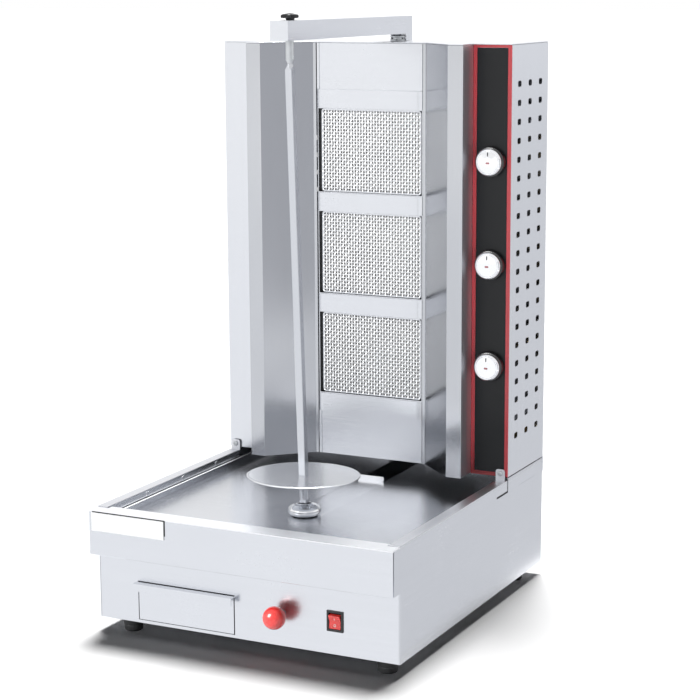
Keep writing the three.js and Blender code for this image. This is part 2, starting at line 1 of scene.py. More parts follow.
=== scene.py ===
"""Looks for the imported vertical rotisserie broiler: fine pieces, materials, studio light and camera.

Lengths are metres in the row frame: X to the right, Y to the back, Z up from the worktop.
"""
import json
import math

import bmesh
import bpy
from mathutils import Matrix, Vector


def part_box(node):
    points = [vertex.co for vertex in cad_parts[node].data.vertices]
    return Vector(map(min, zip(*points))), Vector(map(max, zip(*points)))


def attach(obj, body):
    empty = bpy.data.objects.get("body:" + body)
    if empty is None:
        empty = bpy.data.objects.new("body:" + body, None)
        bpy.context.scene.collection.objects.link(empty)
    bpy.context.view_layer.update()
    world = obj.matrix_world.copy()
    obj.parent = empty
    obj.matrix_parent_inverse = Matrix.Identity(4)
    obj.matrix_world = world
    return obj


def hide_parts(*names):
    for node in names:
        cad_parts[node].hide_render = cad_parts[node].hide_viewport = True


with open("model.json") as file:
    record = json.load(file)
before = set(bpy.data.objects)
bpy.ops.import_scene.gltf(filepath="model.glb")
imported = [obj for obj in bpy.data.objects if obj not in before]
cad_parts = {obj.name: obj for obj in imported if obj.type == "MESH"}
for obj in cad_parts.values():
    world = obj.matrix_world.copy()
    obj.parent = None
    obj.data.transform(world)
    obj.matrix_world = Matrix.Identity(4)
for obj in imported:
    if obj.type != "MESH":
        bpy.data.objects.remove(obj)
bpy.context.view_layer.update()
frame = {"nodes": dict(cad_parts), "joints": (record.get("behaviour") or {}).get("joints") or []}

MM = 0.001
joints = {joint["name"]: joint for joint in frame["joints"]}


WELD = 0.002 * MM                           # points of a body that are closer than this become one
FINE_WELD = {"drip_tray": 0.0002 * MM}      # at WELD two near points of its apron join and spoil a face


# ---- shapes: each is a pair (points, faces) ----
def filleted(points, radius, steps=4):
    """The same open outline with its inner corners rounded."""
    corners = [Vector(point) for point in points]
    rounded = [corners[0]]
    for before, here, after in zip(corners, corners[1:], corners[2:]):
        reach = min(radius, 0.45 * (here - before).length, 0.45 * (after - here).length)
        start = here + (before - here).normalized() * reach
        end = here + (after - here).normalized() * reach
        for i in range(steps + 1):
            t = i / steps
            rounded.append(start * (1 - t) ** 2 + here * (2 * t * (1 - t)) + end * t ** 2)
    return rounded + [corners[-1]]


def loft(rings, closed=False):
    """Skin over rings of equal length. An open loft gets a cap at each end."""
    count = len(rings[0])
    points = [Vector(point) for ring in rings for point in ring]
    pairs = list(zip(range(len(rings)), range(1, len(rings))))
    if closed:
        pairs.append((len(rings) - 1, 0))
    faces = []
    for low, high in pairs:
        for i in range(count):
            j = (i + 1) % count
            faces.append([low * count + i, low * count + j, high * count + j, high * count + i])
    if not closed:
        faces.append(list(range(count))[::-1])
        faces.append([(len(rings) - 1) * count + i for i in range(count)])
    return points, faces


def circle(radius, height=0.0, segments=64, lobes=0, depth=0.0):
    """Ring of points about Z. With lobes, its radius swells and shrinks by depth."""
    ring = []
    for i in range(segments):
        turn = 2 * math.pi * i / segments
        reach = radius + depth * math.cos(lobes * turn)
        ring.append((reach * math.cos(turn), reach * math.sin(turn), height))
    return ring


def lathe(profile, segments=64, fillet=0.0, lobes=0, depth=0.0):
    """Body of revolution about Z from (radius, height) points. The ends are capped."""
    outline = filleted(profile, fillet) if fillet else profile
    return loft([circle(radius, height, segments, lobes, depth) for radius, height in outline])


def rounded_rectangle(width, height, radius, steps=6):
    """Outline about the origin, anticlockwise."""
    outline = []
    centres = [(1, 1), (-1, 1), (-1, -1), (1, -1)]
    for quarter, (side_x, side_y) in enumerate(centres):
        for i in range(steps + 1):
            turn = math.pi / 2 * (quarter + i / steps)
            outline.append((
                side_x * (width / 2 - radius) + radius * math.cos(turn),
                side_y * (height / 2 - radius) + radius * math.sin(turn),
            ))
    return outline


def prism(outline, low, high):
    """Plan outline raised from low to high."""
    return loft([[(x, y, low) for x, y in outline], [(x, y, high) for x, y in outline]])


def block(low, high):
    """Box between two corners."""
    outline = [(low[0], low[1]), (high[0], low[1]), (high[0], high[1]), (low[0], high[1])]
    return prism(outline, low[2], high[2])


def moved(shape, matrix):
    points, faces = shape
    return [matrix @ point for point in points], faces


def joined(*shapes):
    points, faces = [], []
    for more_points, more_faces in shapes:
        start = len(points)
        points += more_points
        faces += [[start + i for i in face] for face in more_faces]
    return points, faces


def facing(axis, place):
    """Matrix that carries a shape made about +Z so that it points along axis from place."""
    turn = Vector((0, 0, 1)).rotation_difference(Vector(axis))
    return Matrix.Translation(place) @ turn.to_matrix().to_4x4()


def linked(name, data):
    """A new object with that data, in the scene."""
    made = bpy.data.objects.new(name, data)
    bpy.context.scene.collection.objects.link(made)
    return made


def mesh_from(name, shape):
    mesh = bpy.data.meshes.new(name)
    mesh.from_pydata(shape[0], [], shape[1])
    fixed = bmesh.new()
    fixed.from_mesh(mesh)
    bmesh.ops.recalc_face_normals(fixed, faces=fixed.faces)
    fixed.to_mesh(mesh)
    fixed.free()
    return mesh


def carved(shape, *cutters, operation="DIFFERENCE"):
    """The shape with the cutters taken away, or what it shares with them if operation is INTERSECT."""
    body = linked("carving", mesh_from("carving", shape))
    tools = []
    for cutter in cutters:
        tool = linked("cutter", mesh_from("cutter", cutter))
        cut = body.modifiers.new("cut", "BOOLEAN")
        cut.operation, cut.solver, cut.object = operation, "EXACT", tool
        tools.append(tool)
    depsgraph = bpy.context.evaluated_depsgraph_get()
    result = bpy.data.meshes.new_from_object(body.evaluated_get(depsgraph), depsgraph=depsgraph)
    made = [v.co.copy() for v in result.vertices], [list(p.vertices) for p in result.polygons]
    for thing in [body, *tools]:
        bpy.data.objects.remove(thing)
    return made


# ---- surfaces ----
def smoothing_group(degrees):
    """Node group that welds a faceted body and shades it smooth, except at its sharp edges."""
    group = bpy.data.node_groups.new(f"smooth_under_{degrees}", "GeometryNodeTree")
    group.interface.new_socket("Geometry", in_out="INPUT", socket_type="NodeSocketGeometry")
    group.interface.new_socket("Geometry", in_out="OUTPUT", socket_type="NodeSocketGeometry")
    nodes, links = group.nodes, group.links
    start, end = nodes.new("NodeGroupInput"), nodes.new("NodeGroupOutput")
    weld = nodes.new("GeometryNodeMergeByDistance")
    weld.inputs["Distance"].default_value = WELD
    angle = nodes.new("GeometryNodeInputMeshEdgeAngle")
    below = nodes.new("FunctionNodeCompare")
    below.operation = "LESS_THAN"
    below.inputs["B"].default_value = math.radians(degrees)
    links.new(angle.outputs["Unsigned Angle"], below.inputs["A"])
    faces, edges = nodes.new("GeometryNodeSetShadeSmooth"), nodes.new("GeometryNodeSetShadeSmooth")
    faces.domain, edges.domain = "FACE", "EDGE"
    links.new(start.outputs[0], weld.inputs["Geometry"])
    links.new(weld.outputs[0], faces.inputs["Geometry"])
    links.new(faces.outputs[0], edges.inputs["Geometry"])
    links.new(below.outputs["Result"], edges.inputs["Shade Smooth"])
    links.new(edges.outputs[0], end.inputs[0])
    return group


SMOOTH = smoothing_group(40)


def finish_surface(thing, bevel, weld_distance=None):
    """Rounds the sharp edges by bevel and shades the body smooth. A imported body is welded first."""
    if weld_distance:
        weld = thing.modifiers.new("weld", "WELD")
        weld.merge_threshold = weld_distance
        facets = thing.modifiers.new("join_facets", "DECIMATE")
        facets.decimate_type, facets.angle_limit = "DISSOLVE", math.radians(0.6)
    if bevel:
        edge = thing.modifiers.new("rounded_edges", "BEVEL")
        edge.width, edge.segments = bevel, 3
        edge.limit_method, edge.angle_limit = "ANGLE", math.radians(42)
        edge.use_clamp_overlap = True
    shade = thing.modifiers.new("shading", "NODES")
    shade.node_group = SMOOTH
    weighted = thing.modifiers.new("even_normals", "WEIGHTED_NORMAL")
    weighted.keep_sharp = True


def piece(name, shape, material, body, replaces=(), bevel=0.0):
    """A new object that rides on a body of the frame."""
    made = linked(name, mesh_from(name, shape))
    made.data.materials.append(material)
    finish_surface(made, bevel)
    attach(made, body)
    if replaces:
        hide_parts(*replaces)
    return made


# ---- shader nodes ----
class Shader:
    """A new material with one Principled shader, and short calls that add nodes to it."""

    def __init__(self, name, **sockets):
        self.material = bpy.data.materials.new(name)
        self.material.use_nodes = True
        self.tree = self.material.node_tree
        self.tree.nodes.clear()
        self.surface = self.tree.nodes.new("ShaderNodeBsdfPrincipled")
        output = self.tree.nodes.new("ShaderNodeOutputMaterial")
        self.tree.links.new(self.surface.outputs[0], output.inputs["Surface"])
        self.coordinates = self.tree.nodes.new("ShaderNodeTexCoord").outputs["Object"]
        for socket, value in sockets.items():
            self.surface.inputs[socket.replace("_", " ").title().replace("Ior", "IOR")].default_value = value

    def node(self, kind, *inputs, **settings):
        """A node whose first sockets take inputs in order. None leaves a socket as it is."""
        made = self.tree.nodes.new(kind)
        for setting, value in settings.items():
            setattr(made, setting, value)
        for socket, value in zip(made.inputs, inputs):
            self.feed(socket, value)
        return made

    def feed(self, socket, value):
        if isinstance(value, bpy.types.NodeSocket):
            self.tree.links.new(value, socket)
        elif value is not None:
            socket.default_value = value

    def noise(self, stretch, detail=2.0, roughness=0.5, shift=0.0):
        """Noise from 0 to 1. stretch gives its features per metre, as one number or along X, Y and Z."""
        scale = (stretch, stretch, stretch) if isinstance(stretch, float) else stretch
        place = self.node("ShaderNodeMapping", self.coordinates, (shift, shift, shift), None, scale)
        made = self.node("ShaderNodeTexNoise")
        self.feed(made.inputs["Vector"], place.outputs[0])
        made.inputs["Scale"].default_value = 1.0
        made.inputs["Detail"].default_value = detail
        made.inputs["Roughness"].default_value = roughness
        return made.outputs["Fac"]

    def spread(self, value, low, high, start=0.0, end=1.0):
        """The value's stretch from start to end, carried to low and high."""
        made = self.node("ShaderNodeMapRange", value, start, end, low, high)
        return made.outputs[0]

    def math(self, operation, a, b=None):
        return self.node("ShaderNodeMath", a, b, operation=operation).outputs[0]

    def blend(self, factor, first, second):
        """Colour between first and second."""
        made = self.node("ShaderNodeMix", data_type="RGBA")
        for socket, value in zip([made.inputs[0], made.inputs[6], made.inputs[7]], [factor, first, second]):
            self.feed(socket, value)
        return made.outputs[2]

    def bump(self, height, depth, strength=1.0, under=None):
        made = self.node("ShaderNodeBump", strength, depth)
        self.feed(made.inputs["Height"], height)
        if under is not None:
            self.feed(made.inputs["Normal"], under)
        return made.outputs[0]

    def colour(self, value):
        self.feed(self.surface.inputs["Base Color"], value)

    def rough(self, value):
        self.feed(self.surface.inputs["Roughness"], value)

    def normal(self, value):
        self.feed(self.surface.inputs["Normal"], value)


def shade(colour, factor):
    """The colour made lighter or darker, as a shader colour."""
    return (*[min(1.0, channel * factor) for channel in colour], 1.0)


def brushed(name, grain, colour, rough, lip=None, lip_painted_tone=(0.84, 0.85, 0.87, 1.0)):
    """Rolled sheet steel with brush lines along grain and faint smudges.

    Above the height lip, the sheet is a folded edge whose colour is painted light: a painted highlight on the
    tray's lip, painted shade on the base's rims.
    """
    made = Shader(name, metallic=1.0)
    along = [3.0 if axis == grain else 1500.0 for axis in "xyz"]
    bands = [0.7 if axis == grain else 140.0 for axis in "xyz"]
    lines = made.noise(along, detail=3.0, roughness=0.65)
    streaks = made.noise(bands, detail=2.0)
    smudges = made.noise(7.0, detail=5.0, roughness=0.62, shift=3.1)
    specks = made.noise(420.0, detail=1.0, shift=1.7)
    mixed = made.math("ADD", made.spread(streaks, -0.2, 0.2), made.spread(smudges, -0.25, 0.25))
    tone = made.math("ADD", made.spread(lines, 0.3, 0.7), mixed)
    surface = made.blend(tone, shade(colour, 0.95), shade(colour, 1.04))
    smeared = made.spread(smudges, -0.01, 0.015, 0.35, 0.65)
    wear = made.math("ADD", smeared, made.spread(specks, 0.0, 0.02, 0.55, 0.75))
    grainy = made.math("ADD", made.spread(lines, -0.04, 0.05), rough)
    worn = made.math("ADD", grainy, wear)
    if lip:
        height = made.node("ShaderNodeSeparateXYZ", made.coordinates).outputs["Z"]
        folded = made.spread(height, 0.0, 1.0, lip, lip + 0.4 * MM)
        # the folded edge's colour is painted light: paler as a painted highlight on the tray, darker as painted
        # shade on the rims
        surface = made.blend(folded, surface, lip_painted_tone)
        worn = made.math("ADD", worn, made.spread(folded, 0.0, 0.08))
    made.colour(surface)
    made.rough(worn)
    waves = made.noise(3.0, detail=0.0, shift=8.3)
    made.normal(made.bump(lines, 0.006 * MM, 1.0, made.bump(waves, 0.3 * MM, 0.5)))
    return made.material


def polished(name, grain, colour, rough):
    """Bright rolled sheet with a faint grain and gently wavy reflections. The outer strips are painted paler,
    the left one more than the right: a painted highlight.
    """
    made = Shader(name, metallic=1.0)
    along = [4.0 if axis == grain else 1100.0 for axis in "xyz"]
    lines = made.noise(along, detail=2.0, roughness=0.6)
    haze = made.noise((11.0, 11.0, 2.5), detail=4.0, roughness=0.6, shift=2.2)
    across = made.node("ShaderNodeSeparateXYZ", made.coordinates).outputs["X"]
    sheet = made.blend(haze, shade(colour, 0.92), shade(colour, 1.06))
    start, full = OUTER_STRIP
    # outer strips painted paler, the left one more than the right: painted highlight
    sheet = made.blend(made.spread(across, 1.0, 0.0, -full, -start), sheet, shade(colour, 1.62))
    made.colour(made.blend(made.spread(across, 0.0, 1.0, start, full), sheet, shade(colour, 1.3)))
    outward = made.spread(made.math("ABSOLUTE", across), 0.0, 0.26, start, full)
    dull = made.math("ADD", made.spread(haze, -0.03, 0.06), outward)
    made.rough(made.math("ADD", made.spread(lines, rough - 0.03, rough + 0.04), dull))
    waves = made.noise((9.0, 9.0, 1.4), detail=1.0, shift=5.0)
    made.normal(made.bump(lines, 0.003 * MM, 1.0, made.bump(waves, 0.5 * MM, 0.6)))
    return made.material


def chrome(name):
    """Bright plating with hairline scratches and faint fingerprints."""
    made = Shader(name, metallic=1.0)
    prints = made.noise(60.0, detail=4.0, roughness=0.6)
    hairs = made.noise((2400.0, 300.0, 2400.0), detail=1.0)
    made.colour(made.blend(prints, (0.80, 0.81, 0.83, 1.0), (0.90, 0.91, 0.93, 1.0)))
    made.rough(made.math("ADD", made.spread(prints, 0.03, 0.14, 0.35, 0.75), made.spread(hairs, 0.0, 0.03)))
    made.normal(made.bump(hairs, 0.0012 * MM))
    return made.material


def plated(name, colour, rough):
    """Dull zinc or brass with a mottled finish and tool marks."""
    made = Shader(name, metallic=1.0)
    mottle = made.noise(90.0, detail=4.0, roughness=0.7)
    marks = made.noise((260.0, 260.0, 1400.0), detail=2.0, shift=4.0)
    made.colour(made.blend(mottle, shade(colour, 0.72), shade(colour, 1.12)))
    uneven = made.spread(mottle, rough - 0.08, rough + 0.12)
    made.rough(made.math("ADD", uneven, made.spread(marks, -0.04, 0.04)))
    made.normal(made.bump(marks, 0.012 * MM, 1.0, made.bump(mottle, 0.05 * MM)))
    return made.material


def cast_iron(name):
    """Grey sand casting: a pitted skin with darker hollows."""
    made = Shader(name, metallic=0.65)
    skin = made.noise(900.0, detail=4.0, roughness=0.7)
    patches = made.noise(26.0, detail=4.0, roughness=0.6, shift=1.0)
    grey = made.blend(patches, (0.10, 0.105, 0.11, 1.0), (0.20, 0.205, 0.21, 1.0))
    made.colour(made.blend(made.spread(skin, 0.0, 0.5, 0.35, 0.6), grey, (0.05, 0.05, 0.052, 1.0)))
    made.rough(made.spread(skin, 0.5, 0.8))
    made.normal(made.bump(skin, 0.12 * MM))
    return made.material


def ceramic(name):
    """Pale porous burner tile: rows of small flame holes painted dark as painted shade inside them, and faint
    scorching.
    """
    made = Shader(name, metallic=0.0, specular_ior_level=0.25)
    place = made.node("ShaderNodeMapping", made.coordinates, None, None, (430.0, 1.0, 430.0))
    cells = made.node("ShaderNodeTexVoronoi", place.outputs[0], feature="F1")
    cells.inputs["Randomness"].default_value = 0.12
    holes = made.spread(cells.outputs["Distance"], 1.0, 0.0, 0.24, 0.34)
    scorch = made.noise(13.0, detail=4.0, roughness=0.6)
    scorched = made.spread(scorch, 0.0, 1.0, 0.4, 0.75)
    body = made.blend(scorched, (0.83, 0.82, 0.80, 1.0), (0.62, 0.60, 0.58, 1.0))
    # the holes are painted near black: painted shade inside them
    made.colour(made.blend(made.math("MULTIPLY", holes, 0.75), body, (0.12, 0.11, 0.11, 1.0)))
    made.rough(made.spread(scorch, 0.8, 0.95))
    grit = made.noise(1500.0, detail=2.0)
    made.normal(made.bump(made.math("SUBTRACT", 1.0, holes), 0.6 * MM, 1.0, made.bump(grit, 0.05 * MM)))
    return made.material


def moulded(name, colour, rough, grit=0.02 * MM, coat=0.0):
    """Moulded plastic or rubber with a fine texture and a few scuffs."""
    made = Shader(name, metallic=0.0, coat_weight=coat, coat_roughness=0.08)
    texture = made.noise(1300.0, detail=2.0)
    scuffs = made.noise((70.0, 140.0, 70.0), detail=5.0, roughness=0.7, shift=6.0)
    scuffed = made.spread(scuffs, 0.0, 1.0, 0.35, 0.75)
    made.colour(made.blend(scuffed, shade(colour, 0.9), shade(colour, 1.18)))
    dull = made.spread(scuffs, rough - 0.05, rough + 0.12)
    made.rough(made.math("ADD", dull, made.spread(texture, -0.03, 0.03)))
    made.normal(made.bump(texture, grit))
    return made.material


def painted(name, colour, rough, gloss=0.35):
    """Sprayed paint with orange peel, faint dust and slightly uneven colour."""
    made = Shader(name, metallic=0.0, coat_weight=gloss, coat_roughness=0.12,
                  specular_ior_level=0.3 + gloss / 2)
    peel = made.noise(380.0, detail=1.0)
    cloud = made.noise((9.0, 9.0, 4.0), detail=4.0, shift=2.0)
    dust = made.noise(2200.0, detail=1.0, shift=7.0)
    base = made.blend(cloud, shade(colour, 0.88), shade(colour, 1.12))
    made.colour(made.blend(made.spread(dust, 0.0, 0.12, 0.68, 0.8), base, (0.5, 0.5, 0.5, 1.0)))
    made.rough(made.spread(cloud, rough - 0.05, rough + 0.08))
    made.normal(made.bump(peel, 0.02 * MM))
    return made.material


def tinted_wire(name):
    """Burner gauze wire, slightly uneven where heat has dulled it."""
    made = Shader(name, metallic=0.75)
    heat = made.noise(16.0, detail=3.0, roughness=0.6)
    fine = made.noise(800.0, detail=2.0)
    made.colour(made.blend(heat, (0.86, 0.87, 0.89, 1.0), (0.97, 0.975, 0.98, 1.0)))
    made.rough(made.spread(fine, 0.36, 0.50))
    made.normal(made.bump(fine, 0.01 * MM))
    return made.material


# from here the reflectors' outer strips are painted paler: a painted highlight
OUTER_STRIP = (0.1934, 0.1937)    # how far from the middle a reflector's outer strip starts, and is full
TRAY_LIP = 0.1979                 # heights at which the folded edges of the tray and the base start
BASE_RIM = 0.1994
# a paler copy of STAINLESS for the spit's disc: painted light
LIT_STAINLESS = (0.80, 0.815, 0.84)
STAINLESS = (0.66, 0.675, 0.71)
steel = {grain: brushed(f"brushed_steel_{grain}", grain, STAINLESS, 0.24) for grain in "xyz"}
# the lips above TRAY_LIP and BASE_RIM are painted light: the tray's paler lip is a painted highlight, the rims'
# darker lip is painted shade
tray_steel = brushed("tray_steel", "x", STAINLESS, 0.24, TRAY_LIP)
rim_steel = brushed("rim_steel", "y", STAINLESS, 0.24, BASE_RIM, (0.60, 0.61, 0.64, 1.0))
# the disc's steel is painted paler than the rest: painted light
disc_steel = brushed("disc_steel", "x", LIT_STAINLESS, 0.24)
# a darker copy of STAINLESS for the spit: painted shade
spit_steel = brushed("spit_steel", "z", (0.57, 0.585, 0.62), 0.22)
# a much paler copy of the steel for the tray's hems: painted highlight
hem_steel = brushed("hem_steel", "y", (0.92, 0.925, 0.935), 0.5)
# a darker copy of the steel, painted shade: it darkens the reflectors and the apron's hem
mirror = polished("polished_steel", "z", (0.50, 0.512, 0.54), 0.14)
bright = chrome("bright_chrome")
zinc = plated("zinc_plating", (0.62, 0.64, 0.66), 0.38)
brass = plated("brass", (0.68, 0.50, 0.22), 0.32)
iron = cast_iron("cast_iron")
clay = ceramic("burner_ceramic")
black_plastic = moulded("black_plastic", (0.016, 0.017, 0.019), 0.36)
knob_plastic = moulded("knob_plastic", (0.014, 0.015, 0.017), 0.22, coat=0.8)
rubber = moulded("foot_rubber", (0.03, 0.031, 0.033), 0.62, grit=0.06 * MM)
red_plastic = moulded("red_plastic", (0.86, 0.045, 0.04), 0.24, grit=0.004 * MM, coat=0.6)
black_paint = painted("black_paint", (0.006, 0.007, 0.009), 0.38, gloss=0.05)
red_paint = painted("red_paint", (0.80, 0.055, 0.075), 0.32)
white_plate = painted("white_plate", (0.88, 0.89, 0.90), 0.30)
faded_red = painted("faded_red", (0.42, 0.16, 0.17), 0.45)
pale_ink = painted("pale_ink", (0.85, 0.62, 0.60), 0.45)
mortar = moulded("white_mortar", (0.80, 0.79, 0.77), 0.8, grit=0.05 * MM)
wire = tinted_wire("gauze_wire")


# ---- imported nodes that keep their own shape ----
LOOKS = {
    "base_front": steel["x"], "drip_tray": tray_steel, "grease_drawer": steel["x"],
    "base_floor": steel["x"], "base_rear": steel["x"],
    "base_side_left": rim_steel, "base_side_right": rim_steel, "swing_arm": steel["y"],
    "housing_side_left": steel["z"], "housing_side_right": steel["z"], "housing_rear": steel["z"],
    "housing_top": steel["x"], "burner_panel": steel["x"], "spit_bar": spit_steel,
    "reflector_left": mirror, "reflector_right": mirror,
    "carriage": zinc, "carriage_rails": zinc, "drive_shaft": zinc, "gearmotor": iron,
    "gas_manifold": brass, "fascia_border": red_paint, "fascia_panel": black_paint,
    "blank_plate": white_plate, "rocker_bezel": black_plastic, "rocker": red_plastic,
}
LOOKS.update({f"cross_bar_{i}": steel["x"] for i in range(1, 5)})
LOOKS.update({f"burner_box_{i}": iron for i in range(1, 4)})
LOOKS.update({f"burner_tiles_{i}": clay for i in range(1, 4)})
SHEET_EDGE = 0.45 * MM
EDGES = {
    "housing_rear": 0.2 * MM, "drip_tray": 0.2 * MM, "fascia_border": 0.25 * MM, "fascia_panel": 0.15 * MM,
    "blank_plate": 0.25 * MM, "rocker": 0.7 * MM, "gearmotor": 0.8 * MM,
}

for name, material in LOOKS.items():
    node = frame["nodes"][name]
    if not node.material_slots:
        node.data.materials.append(material)
    for slot in node.material_slots:
        slot.material = material
    finish_surface(node, EDGES.get(name, SHEET_EDGE), FINE_WELD.get(name, WELD))


def middle(node):
    low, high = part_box(node)
    return (low + high) / 2


def size(node):
    low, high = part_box(node)
    return high - low


# ---- burners ----
WIRE_PITCH = 5.2 * MM
WIRE_RADIUS = 1.18 * MM
CRIMP = 1.0 * MM


def crimped_wire(length, first, section=6):
    """Wire along Z that passes over and under the wires it crosses. first says which comes first."""
    steps = round(length / WIRE_PITCH * 2)
    rings = []
    for i in range(steps + 1):
        along = length * (i / steps - 0.5)
        lift = CRIMP * math.cos(math.pi * along / WIRE_PITCH) * first
        rings.append([(x, y + lift, z + along) for x, y, z in circle(WIRE_RADIUS, 0.0, section)])
    return loft(rings)


def woven(width, height):
    """Plain weave in the XZ plane, about the origin."""
    wires = []
    across, up = int(width / 2 / WIRE_PITCH), int(height / 2 / WIRE_PITCH)
    level = Matrix.Rotation(math.pi / 2, 4, "Y")
    for i in range(-across, across + 1):
        sign = 1 if i % 2 else -1
        wires.append(moved(crimped_wire(height, sign), Matrix.Translation((i * WIRE_PITCH, 0, 0))))
    for i in range(-up, up + 1):
        sign = -1 if i % 2 else 1
        wires.append(moved(crimped_wire(width, sign), Matrix.Translation((0, 0, i * WIRE_PITCH)) @ level))
    return joined(*wires)


def ring_frame(width, height, corner, section):
    """Rounded frame in the XZ plane. section gives (inwards, forwards) points."""
    outer = rounded_rectangle(width, height, corner, steps=8)
    rings = []
    for i, here in enumerate(outer):
        before, after = Vector(outer[i - 1]), Vector(outer[(i + 1) % len(outer)])
        way = (after - before).normalized()
        inward = Vector((-way.y, way.x))
        rings.append([(here[0] + inward.x * a, -b, here[1] + inward.y * a) for a, b in section])
    return loft(rings, closed=True)


def make_gauze(number):
    node = f"burner_gauze_{number}"
    low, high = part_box(node)
    depth, rim = high.y - low.y, 3.6 * MM
    section = filleted([(0.0, 0.0), (0.2 * MM, depth), (rim, depth), (rim, depth * 0.35), (rim, 0.0)], 0.7 * MM)
    edge = ring_frame(high.x - low.x, high.z - low.z, 6.5 * MM, section)
    place = Matrix.Translation((0, high.y, middle(node).z))
    piece(f"gauze_frame_{number}", moved(edge, place), steel["x"], "base", [node])
    mesh = woven(high.x - low.x - 2 * rim + 1.5 * MM, high.z - low.z - 2 * rim + 1.5 * MM)
    place = Matrix.Translation((0, middle(node).y - 0.35 * MM, middle(node).z))
    piece(f"gauze_mesh_{number}", moved(mesh, place), wire, "base", [node])
    low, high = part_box(f"burner_tiles_{number}")
    seam = block((-1.2 * MM, low.y - 0.3 * MM, low.z + 1 * MM), (1.2 * MM, low.y + 4 * MM, high.z - 1 * MM))
    piece(f"tile_joint_{number}", seam, mortar, "base", bevel=0.4 * MM)


# ---- knobs, ball, feet and other turned pieces ----
def make_knob(number):
    """Black skirt with shallow flutes, and a bright cap with a ring and an index line."""
    cap, skirt = f"knob_cap_{number}", f"knob_skirt_{number}"
    low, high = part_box(skirt)
    radius, depth = (high.x - low.x) / 2, high.y - low.y
    toward = facing((0, -1, 0), (middle(skirt).x, high.y, middle(skirt).z))
    profile = [
        (radius - 2 * MM, 0.0), (radius - 0.4 * MM, 0.0), (radius - 0.4 * MM, 1.6 * MM),
        (radius - 1.8 * MM, depth - 0.8 * MM), (radius - 4.2 * MM, depth), (2 * MM, depth),
    ]
    body = lathe(profile, segments=144, fillet=0.9 * MM, lobes=48, depth=0.22 * MM)
    piece(f"knob_grip_{number}", moved(body, toward), knob_plastic, f"knob_{number}", [skirt])
    low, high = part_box(cap)
    radius, depth = (high.x - low.x) / 2, high.y - low.y
    toward = facing((0, -1, 0), (middle(cap).x, high.y, middle(cap).z))
    profile = [
        (radius - 3 * MM, 0.0), (radius, 0.0), (radius, depth - 3 * MM), (radius - 2.2 * MM, depth - 0.9 * MM),
        (radius - 3.4 * MM, depth - 0.9 * MM), (radius - 3.9 * MM, depth - 1.2 * MM),
        (radius - 4.4 * MM, depth - 0.8 * MM), (radius * 0.35, depth - 0.15 * MM), (0.4 * MM, depth - 0.1 * MM),
    ]
    disc = lathe(profile, segments=96, fillet=1.1 * MM)
    piece(f"knob_face_{number}", moved(disc, toward), bright, f"knob_{number}", [cap])
    line = prism(rounded_rectangle(1.8 * MM, 6.5 * MM, 0.7 * MM), depth - 1.4 * MM, depth - 0.25 * MM)
    line = moved(line, toward @ Matrix.Translation((0, radius * 0.58, 0)))
    piece(f"knob_index_{number}", line, black_plastic, f"knob_{number}", bevel=0.15 * MM)
    bar = prism(rounded_rectangle(6.4 * MM, 3.2 * MM, 1.2 * MM), depth - 1.4 * MM, depth - 0.02 * MM)
    bar = moved(bar, toward @ Matrix.Translation((0, -1.2 * MM, 0)))
    piece(f"knob_mark_{number}", bar, faded_red, f"knob_{number}", bevel=0.15 * MM)


def make_ball():
    """Red ball knob with a flat back around its rod."""
    centre, radius = middle("red_ball"), size("red_ball").x / 2
    centre.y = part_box("red_ball")[0].y + radius
    profile = []
    for i in range(41):
        turn = math.pi * (0.02 + 0.90 * i / 40)
        profile.append((radius * math.sin(turn), radius * math.cos(turn)))
    reach, back = profile[-1]
    profile += [(reach * 0.94, back - 0.6 * MM), (reach * 0.8, back - 0.8 * MM), (4.2 * MM, back - 0.8 * MM)]
    ball = moved(lathe(profile, segments=72), facing((0, -1, 0), centre))
    piece("ball_knob", ball, red_plastic, "carriage", ["red_ball"])


def make_foot(node):
    low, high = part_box(node)
    radius, height = (high.x - low.x) / 2, high.z - low.z
    profile = [
        (3.4 * MM, 1.6 * MM), (3.4 * MM, 0.9 * MM), (8 * MM, 0.9 * MM), (9 * MM, 0), (radius - 4 * MM, 0),
        (radius - 2.7 * MM, 1.4 * MM), (radius - 1.9 * MM, height * 0.42), (radius - 2.5 * MM, height * 0.47),
        (radius - 1.6 * MM, height * 0.52), (radius - 0.3 * MM, height - 1.4 * MM), (radius - 0.9 * MM, height),
        (3 * MM, height),
    ]
    shape = lathe(profile, segments=56, fillet=0.8 * MM)
    place = Matrix.Translation((middle(node).x, middle(node).y, low.z))
    piece(node + "_moulding", moved(shape, place), rubber, "base", [node])


def make_dome():
    """Chrome boss that bulges around the socket for the spit."""
    low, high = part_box("dome_socket")
    radius, height = (high.x - low.x) / 2, high.z - low.z
    profile = [
        (8.2 * MM, 0.3 * MM), (radius * 0.78, 0.0), (radius * 0.88, 1.4 * MM), (radius * 0.98, 4.6 * MM),
        (radius, 8.0 * MM), (radius * 0.97, 11.4 * MM), (radius * 0.86, 14.6 * MM),
        (radius * 0.66, 17.2 * MM), (radius * 0.49, 18.3 * MM), (radius * 0.45, height), (9.9 * MM, height),
        (9.6 * MM, height - 1 * MM), (9.6 * MM, height * 0.45), (7.6 * MM, height * 0.42),
    ]
    shape = lathe(profile, segments=96, fillet=1.6 * MM)
    place = Matrix.Translation((middle("dome_socket").x, middle("dome_socket").y, low.z))
    piece("dome_boss", moved(shape, place), bright, "drive", ["dome_socket"])


DISC_TILT = -4.3                  # degrees off square to the leaning spit


